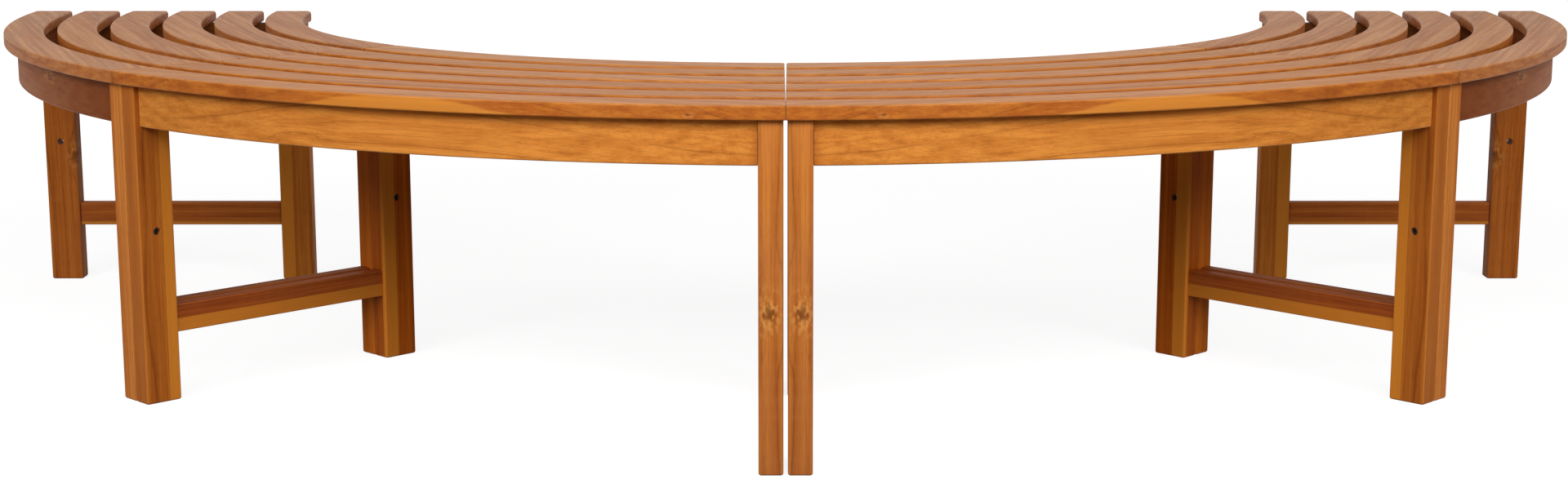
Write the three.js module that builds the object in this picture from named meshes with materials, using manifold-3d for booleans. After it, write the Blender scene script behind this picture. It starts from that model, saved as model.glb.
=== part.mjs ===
// Half round tree bench: four bolted-up segments of curved slats on pairs of legs.
// Millimetres, +Z up. The bench stands on z = 0 and its convex side faces -Y.
// The ring centre, where the tree stands, lies behind the middle of the bench on +Y.

import * as THREE from 'three';
import Module from 'manifold-3d';
import { mergeVertices } from 'three/addons/utils/BufferGeometryUtils.js';

const wasm = await Module();
wasm.setup();

// Whole bench
const outer_radius = 1250;
const seat_height = 450;
const segment_count = 4;
const half_turn = Math.PI;
const segment_angle = half_turn / segment_count;
const half_angle = segment_angle / 2;

// Gap left wherever two pieces touch, and how far a cutter runs past what it cuts
const fit_gap = 0.3;
const overrun = 5;

// Seat slats
const slats_per_segment = 6;
const slat_width = 60;
const slat_gap = 20;
const slat_thickness = 18;
const slat_edge_radius = 6;
const slat_end_softening = 1.2;
const inner_corner_radius = 8;
const slat_steps = 10;

// The arcs are sawn a little flatter than the ring towards the outside of the seat
const inner_rise_share = 1;
const outer_rise_share = 0.94;

// How far each end stands back from the joint plane, where two quarters only stand
// side by side and where two segments are bolted together. The slats of two quarters
// butt at the outside of the seat, and their joint opens a little towards the tree.
const open_slat_clearance_outside = 0.4;
const open_slat_clearance_inside = 1.3;
const open_leg_clearance = 2.7;
const bolted_slat_clearance = 0.4;
const bolted_leg_clearance = 0.15;

// Legs
const leg_depth = 52;
const leg_thickness = 30;
const leg_edge_radius = 3;
const foot_chamfer = 2.5;
const outer_leg_overhang = 12;
const inner_leg_overhang = 6;

// Low stretcher between the two legs of a frame
const stretcher_thickness = 20;
const stretcher_height = 38;
const stretcher_bottom = 92;
const stretcher_edge_radius = 2;

// Top rail of a frame, which the slats are fixed to
const rail_thickness = 20;
const rail_height = 45;

// Curved aprons
const apron_thickness = 22;
const apron_height = 56;
const apron_edge_radius = 3;
const apron_end_softening = 0.8;
const apron_set_back = 7;

// An odd number, so that the batten meets a flat facet in the middle
const apron_steps = 11;

// Batten under the slats in the middle of a segment
const batten_width = 50;
const batten_height = 25;

// Tenons
const tenon_thickness = 10;
const tenon_shoulder = 7;
const tenon_length = 18;
const apron_tenon_length = 14;
const batten_tenon_length = 10;

// Bolt holes through the legs, and the bolts that hold two segments together
const bolt_hole_radius = 5;
const bolt_hole_height = 234;
const bolt_clearance = 0.3;
const bolt_recess = 4;
const bolt_chamfer = 0.8;
const bolt_groove_depth = 0.6;
const bolt_groove_width = 1.2;
const bolt_sleeve_share = 0.6;
const socket_radius = 2.8;
const socket_depth = 5;

// Facets
const slat_edge_facets = 2;
const small_edge_facets = 1;
const hole_facets = 12;
const bolt_facets = 8;
const hexagon = 6;
const quarter_turn = half_turn / 2;

// Places that follow from the sizes
const slat_pitch = slat_width + slat_gap;
const seat_depth = slats_per_segment * slat_width + (slats_per_segment - 1) * slat_gap;
const inner_radius = outer_radius - seat_depth;
const frame_top = seat_height - slat_thickness - fit_gap;
const apron_bottom = frame_top - apron_height;
const outer_leg_face = outer_radius - outer_leg_overhang;
const outer_leg_back = outer_leg_face - leg_depth;
const inner_leg_face = inner_radius + inner_leg_overhang;
const inner_leg_back = inner_leg_face + leg_depth;
const outer_apron_inside = outer_leg_face - apron_set_back - apron_thickness;
const inner_apron_inside = inner_leg_face + apron_set_back;
const ring_centre_y = (outer_radius + open_slat_clearance_outside) / 2;

// Wood and metal
const teak_top = 0xb98a68;
const teak_front = 0xb46a32;
const teak_leg = 0xa9652c;
const teak_dark = 0x6b3c1c;
const bolt_steel = 0x2c2b2a;

function wood(colour) {
  return new THREE.MeshStandardMaterial({ color: colour, roughness: 0.6, metalness: 0 });
}

function steel(colour) {
  return new THREE.MeshStandardMaterial({ color: colour, roughness: 0.45, metalness: 0.9 });
}

// Closed three.js geometry to a solid that can be cut and joined, and back again
function toSolid(geometry) {
  geometry.deleteAttribute('normal');
  geometry.deleteAttribute('uv');
  const merged = mergeVertices(geometry);
  return new wasm.Manifold(new wasm.Mesh({
    numProp: 3,
    vertProperties: new Float32Array(merged.attributes.position.array),
    triVerts: new Uint32Array(merged.index.array),
  }));
}

function toGeometry(solid) {
  const mesh = solid.getMesh();
  const geometry = new THREE.BufferGeometry();
  geometry.setAttribute('position', new THREE.BufferAttribute(mesh.vertProperties, 3));
  geometry.setIndex(new THREE.BufferAttribute(mesh.triVerts, 1));
  geometry.computeVertexNormals();
  return geometry;
}

function addMesh(parent, name, geometry, material) {
  const mesh = new THREE.Mesh(geometry, material);
  mesh.name = name;
  parent.add(mesh);
  return mesh;
}

// Box between two opposite corners, each given as [x, y, z]
function block(from, to) {
  const low = new THREE.Vector3(...from).min(new THREE.Vector3(...to));
  const high = new THREE.Vector3(...from).max(new THREE.Vector3(...to));
  const size = high.clone().sub(low);
  const middle = low.clone().add(high).divideScalar(2);
  return new THREE.BoxGeometry(size.x, size.y, size.z).translate(middle.x, middle.y, middle.z);
}

function roundedRectangle(width, height, radius) {
  const shape = new THREE.Shape();
  const x = width / 2 - radius;
  const y = height / 2 - radius;
  shape.absarc(x, -y, radius, -quarter_turn, 0);
  shape.absarc(x, y, radius, 0, quarter_turn);
  shape.absarc(-x, y, radius, quarter_turn, half_turn);
  shape.absarc(-x, -y, radius, half_turn, half_turn + quarter_turn);
  shape.closePath();
  return shape;
}

// Share of the ring's own rise that a piece sawn at this radius keeps
function riseShare(radius) {
  const across = (radius - inner_radius) / seat_depth;
  return THREE.MathUtils.lerp(inner_rise_share, outer_rise_share, across);
}

// The sawn arc at one radius, in a segment whose middle line is +X. It meets the joint
// planes at that radius, and limit(clearance) is the angle at which it comes to within
// the clearance of a joint plane.
function sawnArc(radius) {
  const half_chord = radius * Math.sin(half_angle);
  const rise = riseShare(radius) * radius * (1 - Math.cos(half_angle));
  const bend_radius = (half_chord ** 2 + rise ** 2) / (2 * rise);
  const centre = radius * Math.cos(half_angle) + rise - bend_radius;
  return {
    limit: (clearance) =>
      half_angle - Math.asin((clearance - centre * Math.sin(half_angle)) / bend_radius),
    point: (angle) =>
      new THREE.Vector2(centre + bend_radius * Math.cos(angle), bend_radius * Math.sin(angle)),
  };
}

// Distance from the ring centre, along the joint line, of a sawn arc where it comes to
// within the clearance of the joint plane
function radiusAtJoint(radius, clearance) {
  const arc = sawnArc(radius);
  const end = arc.point(arc.limit(clearance));
  return end.x * Math.cos(half_angle) + end.y * Math.sin(half_angle);
}

// Rounded cross section of a curved bar: across is the way out from the ring centre
function barSection(width, height, radius, facets) {
  const corners = [
    [width - radius, radius, -quarter_turn],
    [width - radius, height - radius, 0],
    [radius, height - radius, quarter_turn],
    [radius, radius, half_turn],
  ];
  const section = [];
  for (const [across, up, from] of corners) {
    for (let i = 0; i <= facets; i += 1) {
      const angle = from + quarter_turn * i / facets;
      section.push([across + radius * Math.cos(angle), up + radius * Math.sin(angle)]);
    }
  }
  return section;
}

// How much a rounded corner takes off at a distance from the end of the bar
function cornerLoss(radius, distance) {
  if (distance >= radius) {
    return 0;
  }
  return radius - Math.sqrt(radius ** 2 - (radius - distance) ** 2);
}

// A bar sawn to the curve of the bench, as a closed loft of its rounded section. Each
// end lies in a plane parallel to its joint plane, and its arris is softened.
function curvedBar({ inside, width, bottom, height, edge, facets, softening, steps,
  clearances, corner = 0 }) {
  const section = barSection(width, height, edge, facets);
  const near_end = [0, softening];
  if (corner > softening) {
    near_end.push(corner / 2, corner);
  }
  const full_size = near_end.at(-1);
  const stations = near_end.map((distance) => ({ distance, share: 0 }));
  for (let i = 1; i < steps; i += 1) {
    stations.push({ distance: full_size, share: i / steps });
  }
  stations.push(...near_end.toReversed().map((distance) => ({ distance, share: 1 })));

  const positions = [];
  for (const { distance, share } of stations) {
    const inset = distance === 0 ? softening : 0;
    const loss = share === 0 || share === 1 ? cornerLoss(corner, distance) : 0;
    for (const [across, up] of section) {
      const kept = inset + across * (width - 2 * inset) / width;
      const radius = inside + kept + loss * (1 - across / width);
      const arc = sawnArc(radius);
      const from = -arc.limit(clearances[0] + (share === 0 ? distance : full_size));
      const to = arc.limit(clearances[1] + (share === 1 ? distance : full_size));
      const point = arc.point(THREE.MathUtils.lerp(from, to, share));
      const height_here = inset + up * (height - 2 * inset) / height;
      positions.push(point.x, point.y, bottom + height_here);
    }
  }

  const around = section.length;
  const faces = [];
  for (let i = 1; i < around - 1; i += 1) {
    faces.push(0, i, i + 1);
  }
  for (let ring = 0; ring < stations.length - 1; ring += 1) {
    const here = ring * around;
    const next = here + around;
    for (let i = 0; i < around; i += 1) {
      const j = (i + 1) % around;
      faces.push(here + i, next + i, here + j);
      faces.push(here + j, next + i, next + j);
    }
  }
  const last = (stations.length - 1) * around;
  for (let i = 1; i < around - 1; i += 1) {
    faces.push(last, last + i + 1, last + i);
  }

  const geometry = new THREE.BufferGeometry();
  geometry.setAttribute('position', new THREE.Float32BufferAttribute(positions, 3));
  geometry.setIndex(faces);
  geometry.computeVertexNormals();
  return geometry;
}

// Pieces of a leg frame are drawn in the frame's own axes: x out from the ring centre
// along the joint line, y across it into the segment (side is its sign), z up.

function frameMiddle(clearance) {
  return clearance + leg_thickness / 2;
}

// Apron tenon in a frame's axes, grown by a gap where it is a mortise
function apronTenon(apron_inside, side, clearance, gap) {
  const leg_side = clearance + leg_thickness;
  const middle = radiusAtJoint(apron_inside + apron_thickness / 2, leg_side);
  const half = tenon_thickness / 2 + gap;
  const foot = fit_gap + overrun;
  return block(
    [middle - half, side * (leg_side - apron_tenon_length - gap), apron_bottom + tenon_shoulder - gap],
    [middle + half, side * (leg_side + foot), frame_top - tenon_shoulder + gap],
  );
}

// Tenon on the end of a straight rail, along x, in a frame's axes
function railTenon(from, to, side, clearance, bottom, top, gap) {
  const middle = frameMiddle(clearance);
  const half = tenon_thickness / 2 + gap;
  return block(
    [from, side * (middle - half), bottom + tenon_shoulder - gap],
    [to, side * (middle + half), top - tenon_shoulder + gap],
  );
}

function boltHole(leg_middle) {
  const length = 2 * (open_leg_clearance + leg_thickness + overrun);
  const hole = new THREE.CylinderGeometry(bolt_hole_radius, bolt_hole_radius, length, hole_facets);
  return hole.translate(leg_middle, 0, bolt_hole_height);
}

// A leg with softened edges and foot, bored for the bolt and mortised for its stretcher
// and apron
function legSolid(low, apron_inside, inward, side, clearance) {
  const middle = low + leg_depth / 2;
  const shape = roundedRectangle(leg_depth, leg_thickness, leg_edge_radius);
  const post = new THREE.ExtrudeGeometry(shape, {
    depth: frame_top - 2 * foot_chamfer,
    steps: 1,
    curveSegments: small_edge_facets,
    bevelEnabled: true,
    bevelThickness: foot_chamfer,
    bevelSize: foot_chamfer,
    bevelOffset: -foot_chamfer,
    bevelSegments: 1,
  });
  post.translate(middle, side * frameMiddle(clearance), foot_chamfer);
  const face = middle + inward * leg_depth / 2;
  const stretcher_top = stretcher_bottom + stretcher_height;
  const stretcher_mortise = railTenon(
    face - inward * (tenon_length + fit_gap),
    face + inward * overrun,
    side,
    clearance,
    stretcher_bottom,
    stretcher_top,
    fit_gap,
  );
  return toSolid(post)
    .subtract(toSolid(boltHole(middle)))
    .subtract(toSolid(stretcher_mortise))
    .subtract(toSolid(apronTenon(apron_inside, side, clearance, fit_gap)));
}

function outerLeg(side, clearance) {
  const rail_mortise = railTenon(
    outer_leg_back - overrun,
    outer_leg_back + tenon_length + fit_gap,
    side,
    clearance,
    frame_top - rail_height,
    frame_top,
    fit_gap,
  );
  const leg = legSolid(outer_leg_back, outer_apron_inside, -1, side, clearance);
  return toGeometry(leg.subtract(toSolid(rail_mortise)));
}

// The inner leg carries the top rail, which reaches out to the outer leg
function innerLeg(side, clearance) {
  const middle = frameMiddle(clearance);
  const rail_bottom = frame_top - rail_height;
  const rail_end = outer_leg_back - fit_gap;
  const rail = block(
    [inner_leg_back - leg_edge_radius, side * (middle - rail_thickness / 2), rail_bottom],
    [rail_end, side * (middle + rail_thickness / 2), frame_top],
  );
  const tenon = railTenon(
    rail_end - overrun,
    outer_leg_back + tenon_length,
    side,
    clearance,
    rail_bottom,
    frame_top,
    0,
  );
  const leg = legSolid(inner_leg_face, inner_apron_inside, 1, side, clearance);
  return toGeometry(leg.add(toSolid(rail)).add(toSolid(tenon)));
}

function stretcher(side, clearance) {
  const from = inner_leg_back + fit_gap;
  const to = outer_leg_back - fit_gap;
  const shape = roundedRectangle(stretcher_height, stretcher_thickness, stretcher_edge_radius);
  const bar = new THREE.ExtrudeGeometry(shape, {
    depth: to - from,
    steps: 1,
    curveSegments: small_edge_facets,
    bevelEnabled: false,
  });
  bar.rotateY(quarter_turn);
  bar.translate(from, side * frameMiddle(clearance), stretcher_bottom + stretcher_height / 2);
  const stretcher_top = stretcher_bottom + stretcher_height;
  const tenon = railTenon(
    inner_leg_back - tenon_length,
    outer_leg_back + tenon_length,
    side,
    clearance,
    stretcher_bottom,
    stretcher_top,
    0,
  );
  return toGeometry(toSolid(bar).add(toSolid(tenon)));
}

// Curved apron between the legs at the two ends of a segment, tenoned into both
function apron(inside, clearances) {
  const legs = clearances.map((clearance) => clearance + leg_thickness + fit_gap);
  const bar = toSolid(curvedBar({
    inside,
    width: apron_thickness,
    bottom: apron_bottom,
    height: apron_height,
    edge: apron_edge_radius,
    facets: small_edge_facets,
    softening: apron_end_softening,
    steps: apron_steps,
    clearances: legs,
  }));
  const start = apronTenon(inside, 1, clearances[0], 0).rotateZ(-half_angle);
  const end = apronTenon(inside, -1, clearances[1], 0).rotateZ(half_angle);
  return bar.add(toSolid(start)).add(toSolid(end));
}

// Distance from the ring centre to the flat facet in the middle of a sawn apron
function middleFacet(radius) {
  const arc = sawnArc(radius);
  return arc.point(arc.limit(bolted_leg_clearance + leg_thickness) / apron_steps).x;
}

function battenBlock(from, to, width, bottom, top) {
  return toSolid(block([from, -width / 2, bottom], [to, width / 2, top]));
}

function outerApron(clearances) {
  const back = middleFacet(outer_apron_inside);
  const mortise = battenBlock(
    back - overrun,
    back + batten_tenon_length + fit_gap,
    batten_width - 2 * tenon_shoulder + 2 * fit_gap,
    frame_top - batten_height,
    frame_top + overrun,
  );
  return toGeometry(apron(outer_apron_inside, clearances).subtract(mortise));
}

// The inner apron carries the middle batten, which is let into the outer apron
function innerApron(clearances) {
  const front = middleFacet(inner_apron_inside + apron_thickness);
  const back = middleFacet(outer_apron_inside) - fit_gap;
  const bottom = frame_top - batten_height;
  const batten = battenBlock(front - apron_thickness / 2, back, batten_width, bottom, frame_top);
  const tenon = battenBlock(
    back - overrun,
    back + fit_gap + batten_tenon_length,
    batten_width - 2 * tenon_shoulder,
    bottom + fit_gap,
    frame_top,
  );
  return toGeometry(apron(inner_apron_inside, clearances).add(batten).add(tenon));
}

// Joint bolt and its sleeve nut, screwed together inside the hole, with a hexagon
// socket in each end
function jointBolt() {
  const radius = bolt_hole_radius - bolt_clearance;
  const half_length = bolted_leg_clearance + leg_thickness - bolt_recess;
  const groove = (bolt_sleeve_share - 1 / 2) * 2 * half_length;
  const profile = [
    new THREE.Vector2(0, -half_length),
    new THREE.Vector2(radius - bolt_chamfer, -half_length),
    new THREE.Vector2(radius, bolt_chamfer - half_length),
    new THREE.Vector2(radius, groove - bolt_groove_width / 2),
    new THREE.Vector2(radius - bolt_groove_depth, groove - bolt_groove_width / 2),
    new THREE.Vector2(radius - bolt_groove_depth, groove + bolt_groove_width / 2),
    new THREE.Vector2(radius, groove + bolt_groove_width / 2),
    new THREE.Vector2(radius, half_length - bolt_chamfer),
    new THREE.Vector2(radius - bolt_chamfer, half_length),
    new THREE.Vector2(0, half_length),
  ];
  let solid = toSolid(new THREE.LatheGeometry(profile, bolt_facets));
  for (const end of [-half_length, half_length]) {
    const socket = new THREE.CylinderGeometry(socket_radius, socket_radius, 2 * socket_depth, hexagon);
    solid = solid.subtract(toSolid(socket.translate(0, end, 0)));
  }
  return toGeometry(solid);
}

// Two legs and their rails at one end of a segment
function addFrame(parent, prefix, letter, side, clearance) {
  addMesh(parent, `${prefix}_outer_leg_${letter}`, outerLeg(side, clearance), wood(teak_leg));
  addMesh(parent, `${prefix}_inner_leg_${letter}`, innerLeg(side, clearance), wood(teak_leg));
  addMesh(parent, `${prefix}_stretcher_${letter}`, stretcher(side, clearance), wood(teak_dark));
}

// Clearances of slat i, from the inside out, at the open and at the bolted end
function slatClearances(i) {
  const out = i / (slats_per_segment - 1);
  const open = THREE.MathUtils.lerp(open_slat_clearance_inside, open_slat_clearance_outside, out);
  return [open, bolted_slat_clearance];
}

function addSegment(parent, number, bolted_start) {
  const prefix = `segment_${number}`;
  const ends = (open_first) => (bolted_start ? open_first.toReversed() : open_first);
  const leg_clearances = ends([open_leg_clearance, bolted_leg_clearance]);
  const segment = new THREE.Group();
  segment.rotation.z = half_turn + (number - 1) * segment_angle + half_angle;
  parent.add(segment);

  for (let i = 0; i < slats_per_segment; i += 1) {
    const slat = curvedBar({
      inside: inner_radius + i * slat_pitch,
      width: slat_width,
      bottom: seat_height - slat_thickness,
      height: slat_thickness,
      edge: slat_edge_radius,
      facets: slat_edge_facets,
      softening: slat_end_softening,
      steps: slat_steps,
      clearances: ends(slatClearances(i)),
      corner: i === 0 ? inner_corner_radius : 0,
    });
    addMesh(segment, `${prefix}_slat_${i + 1}`, slat, wood(teak_top));
  }
  addMesh(segment, `${prefix}_outer_apron`, outerApron(leg_clearances), wood(teak_front));
  addMesh(segment, `${prefix}_inner_apron`, innerApron(leg_clearances), wood(teak_front));

  const start = new THREE.Group();
  start.rotation.z = -half_angle;
  const end = new THREE.Group();
  end.rotation.z = half_angle;
  segment.add(start, end);
  addFrame(start, prefix, 'a', 1, leg_clearances[0]);
  addFrame(end, prefix, 'b', -1, leg_clearances[1]);
}

// Bolts through the pairs of legs where two segments of a quarter meet
function addBolts(parent, joint_number, first_number) {
  const joint = new THREE.Group();
  joint.rotation.z = half_turn + joint_number * segment_angle;
  parent.add(joint);
  const middles = [outer_leg_back + leg_depth / 2, inner_leg_face + leg_depth / 2];
  middles.forEach((middle, i) => {
    const bolt = addMesh(joint, `joint_bolt_${first_number + i}`, jointBolt(), steel(bolt_steel));
    bolt.position.set(middle, 0, bolt_hole_height);
  });
}

function buildBench() {
  const bench = new THREE.Group();
  const ring = new THREE.Group();
  ring.position.y = ring_centre_y;
  bench.add(ring);
  for (let number = 1; number <= segment_count; number += 1) {
    const bolted_start = number % 2 === 0;
    addSegment(ring, number, bolted_start);
    if (bolted_start) {
      addBolts(ring, number - 1, number - 1);
    }
  }
  return bench;
}

export default buildBench();
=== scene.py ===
# Half round tree bench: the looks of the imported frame, in metres, +Z up.
# The bench's convex side faces -Y and the ring centre lies behind its middle on +Y.
import math
import random

import bmesh
import bpy
from mathutils import Matrix, Vector


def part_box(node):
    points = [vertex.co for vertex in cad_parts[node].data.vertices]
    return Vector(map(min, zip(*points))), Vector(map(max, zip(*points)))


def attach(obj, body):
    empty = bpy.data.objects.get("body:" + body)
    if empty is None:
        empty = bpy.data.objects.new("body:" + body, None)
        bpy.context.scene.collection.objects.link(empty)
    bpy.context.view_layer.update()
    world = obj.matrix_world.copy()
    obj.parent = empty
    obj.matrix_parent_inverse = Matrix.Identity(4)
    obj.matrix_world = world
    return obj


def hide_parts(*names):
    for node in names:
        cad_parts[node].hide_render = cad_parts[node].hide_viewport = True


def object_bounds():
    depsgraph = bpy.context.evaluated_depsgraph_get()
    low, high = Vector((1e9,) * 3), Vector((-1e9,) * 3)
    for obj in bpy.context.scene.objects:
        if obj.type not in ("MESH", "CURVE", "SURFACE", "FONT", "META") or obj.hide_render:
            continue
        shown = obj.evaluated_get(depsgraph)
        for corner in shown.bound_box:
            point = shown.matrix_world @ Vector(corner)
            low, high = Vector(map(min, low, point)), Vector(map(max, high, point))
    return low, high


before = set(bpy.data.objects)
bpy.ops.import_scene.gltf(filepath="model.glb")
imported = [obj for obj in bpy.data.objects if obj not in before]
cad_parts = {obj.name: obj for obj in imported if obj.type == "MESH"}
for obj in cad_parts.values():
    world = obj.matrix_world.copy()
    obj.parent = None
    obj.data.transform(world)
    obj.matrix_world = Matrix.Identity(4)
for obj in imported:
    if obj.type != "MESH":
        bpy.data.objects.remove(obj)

cad_low, cad_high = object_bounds()

# Sizes read from the frame. Frame a of segment 1 stands on the -X joint line, so its
# radii are distances along X.
leg_low, leg_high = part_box("segment_1_outer_leg_a")
_, inner_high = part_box("segment_1_inner_leg_a")
apron_low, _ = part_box("segment_1_outer_apron")
stretcher_low, stretcher_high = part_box("segment_1_stretcher_a")
slat_low, slat_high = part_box("segment_1_slat_6")

SEAT_TOP = slat_high.z
SLAT_BOTTOM = slat_low.z
FRAME_TOP = leg_high.z
APRON_BOTTOM = apron_low.z
STRETCHER_BOTTOM = stretcher_low.z
STRETCHER_TOP = stretcher_high.z
OUTER_LEG_FACE = -leg_low.x
OUTER_LEG_BACK = -leg_high.x
LEG_DEPTH = OUTER_LEG_FACE - OUTER_LEG_BACK
LEG_THICKNESS = leg_high.y - leg_low.y
INNER_LEG_FACE = -inner_high.x
INNER_LEG_BACK = INNER_LEG_FACE + LEG_DEPTH

# Sizes of the seat that the frame is built to
OUTER_RADIUS = 1.25
SLAT_WIDTH = 0.06
SLAT_GAP = 0.02
SLAT_COUNT = 6
SLAT_PITCH = SLAT_WIDTH + SLAT_GAP
SEAT_DEPTH = SLAT_COUNT * SLAT_WIDTH + (SLAT_COUNT - 1) * SLAT_GAP
INNER_RADIUS = OUTER_RADIUS - SEAT_DEPTH
OUTER_RISE_SHARE = 0.94
SEGMENT_ANGLE = math.pi / 4
HALF_ANGLE = SEGMENT_ANGLE / 2
SEGMENT_COUNT = 4

# Distances from the joint planes
OPEN_SLAT_OUTSIDE = 0.0004
OPEN_SLAT_INSIDE = 0.0013
MIDDLE_SLAT_OUTSIDE = 0.00002
BOLTED_SLAT = 0.0004
BOLTED_LEG = 0.00015
RING_CENTRE_Y = cad_high.y + OPEN_SLAT_OUTSIDE
OPEN_LEG = RING_CENTRE_Y - leg_high.y
SHOULDER_GAP = 0.0002

# Edges of the slats: the tree side is rounded more than the outside
SLAT_INNER_EDGE = 0.0045
SLAT_OUTER_EDGE = 0.0024
OPEN_SLAT_END_EDGE = 0.0011
BOLTED_SLAT_END_EDGE = 0.0026
SLAT_PLAN_CORNER = 0.008
SLAT_STEPS = 40
EDGE_FACETS = 5
END_FACETS = 3
CORNER_FACETS = 6
SHARP_DEGREES = 40
EVEN_FACES_WEIGHT = 100

# Frame sections
APRON_THICKNESS = 0.022
APRON_SET_BACK = 0.007
APRON_EDGE = 0.0025
APRON_END_EDGE = 0.0006
APRON_STEPS = 40
LEG_EDGE = 0.0025
LEG_FOOT_EDGE = 0.003
LEG_TOP_EDGE = 0.0008
STRETCHER_THICKNESS = 0.02
STRETCHER_EDGE = 0.002
RAIL_THICKNESS = 0.02
RAIL_HEIGHT = 0.045
RAIL_EDGE = 0.0015
BATTEN_WIDTH = 0.05
BATTEN_HEIGHT = 0.025
BAR_END_EDGE = 0.0004

# Bolt holes and bolts
HOLE_RADIUS = 0.005
HOLE_HEIGHT = 0.234
HOLE_RIM = 0.0006
HOLE_SIDES = 40
BOLT_RADIUS = 0.0047
BOLT_RECESS = 0.004
BOLT_DOME = 0.0012
BOLT_DOME_STEPS = 5
THREAD_START_SHARE = 0.2
THREAD_PITCH = 0.0012
THREAD_TURNS = 4
THREAD_CREST = 0.0002
THREAD_ROOT = 0.0005
SOCKET_RADIUS = 0.0028
SOCKET_DEPTH = 0.003
SOCKET_SIDES = 6

# Joints that are bolted, as the number of the outer leg's bolt and the angle in segments
BOLTED_JOINTS = ((1, 5), (3, 7))

# Screws that hold the slats, seen from below in the rails and battens
SCREW_RADIUS = 0.0042
SCREW_SINK = 0.0004
SCREW_SIDES = 24
SCREW_CENTRE_SHARE = 0.15
SCREW_FLAT_SHARE = 0.85
SCREW_HIDDEN_SHARE = 0.8

# Directions in a segment's or a leg frame's own axes
OUT = (1.0, 0.0, 0.0)
INWARD = (-1.0, 0.0, 0.0)
ALONG = (0.0, 1.0, 0.0)
UP = (0.0, 0.0, 1.0)

# Where planks were sawn from: ranges of the pith's distance from a piece, of a plank's
# tone, redness and greyness, and of its place along the grain
SLAT_PITH_OUT = (-0.12, 0.1)
SLAT_PITH_UP = (0.05, 0.16)
LEG_PITH_OUT = (-0.06, 0.1)
LEG_PITH_ALONG = (0.05, 0.12)
APRON_PITH_IN = 0.094
APRON_PITH_UP = 0.1
BATTEN_PITH_ALONG = 0.05
BATTEN_PITH_DOWN = 0.09
BAR_PITH_ALONG = 0.07
BAR_PITH_DOWN = 0.04
PLANK_TONE = (-0.12, 0.1)
PLANK_RED = (0.0, 0.12)
PLANK_GREY = (0.0, 0.1)
PLANK_SHIFT = (0, 9.0)

# Wood: width of a growth ring, distance between bold rings, how far slow and fine waves
# and a knot push the rings, how far a knot's rim wavers and how much it is drawn out
# along the grain, and how far the second piece of a glued plank lies from the first
RING_WIDTH = 0.0052
BOLD_SPACING = 0.032
SLOW_WAVE = 0.02
FINE_WAVE = 0.0024
KNOT_PUSH = 0.012
KNOT_WAVE = 0.011
KNOT_STRETCH = 0.5
SECOND_SHIFT = (0.83, 0.047, 0.031)
NO_SAPWOOD = 1.0
FAR_AWAY = 9.0

# Cells of noise per metre, along the grain and across it
KNOT_CELLS = (110.0, 260.0, 260.0)
SLOW_CELLS = (1.8, 9.0, 9.0)
FINE_CELLS = (8.0, 70.0, 70.0)
BOLD_FADE_CELLS = (5.0, 30.0, 30.0)
STREAK_CELLS = (2.4, 120.0, 120.0)
FIBRE_CELLS = (7.0, 560.0, 560.0)
PORE_CELLS = (40.0, 1500.0, 1500.0)
BLOTCH_CELLS = (9.0, 20.0, 20.0)
SHIMMER_CELLS = (70.0, 14.0, 14.0)
STEEL_PATCH_CELLS = (260.0, 260.0, 260.0)
STEEL_SCRATCH_CELLS = (3000.0, 400.0, 900.0)
FLOOR_CELLS = (3.0, 3.0, 3.0)

# How sharply a ring darkens, how rare dark rings are, and the range and least of their
# strength
RING_SHARPNESS = 6.0
RING_RARITY = 3.0
RING_STRENGTH_RANGE = 0.5
RING_STRENGTH_LEAST = 0.06

# Smooth steps, as the values where one starts and ends and the shares there, if they
# aren't 0 and 1
RING_AFTER = (0.0, 0.14, 1.0, 0.0)
BOLD_FADE = (0.25, 0.6, 0.25, 1.0)
BOLD_LINE = (0.0, 0.035, 0.7, 0.0)
BOLD_SIDE = (0.0, 0.16, 0.2, 0.0)
KNOT_REACH = (0.0, 0.04, KNOT_PUSH, 0.0)
KNOT_HALO = (0.007, 0.02, 1.0, 0.0)
KNOT_HALO_FIBRE = (0.45, 0.65, 0.0, 0.5)
KNOT_CORE = (0.002, 0.0075, 0.8, 0.0)
STREAK_MIDDLE = (0.36, 0.6)
STREAK_DARK = (0.56, 0.74, 0.0, 0.45)
STREAK_DULL = (0.3, 0.7)
BLOTCH_MIDDLE = (0.42, 0.72, 0.0, 0.4)
BLOTCH_DARK = (0.62, 0.8, 0.0, 0.3)
FIBRE_DARK = (0.42, 0.75, 0.0, 0.26)
FIBRE_LIGHT = (0.28, 0.42, 0.25, 0.0)
SHIMMER_LIGHT = (0.4, 0.75, 0.0, 0.14)
PORE_STEP = (0.56, 0.7)
SAP_STEP = (-0.0008, 0.0016)
WEATHER_STEP = (0.3, 0.7, 0.5, 1.3)
GLUE_STEP = (0.0, 0.0005, 0.6, 0.0)
STEEL_PATCH = (0.4, 0.7)

# Shares of the colours laid over the wood
PORE_SHARE = 0.22
SAP_SHARE = 0.62
GREYED_SATURATION = 0.45
GREYED_VALUE = 0.96
SECOND_SHARE = 0.72
END_GRAIN_SHARE = 0.8
WORN_SHARE = 0.08

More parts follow.
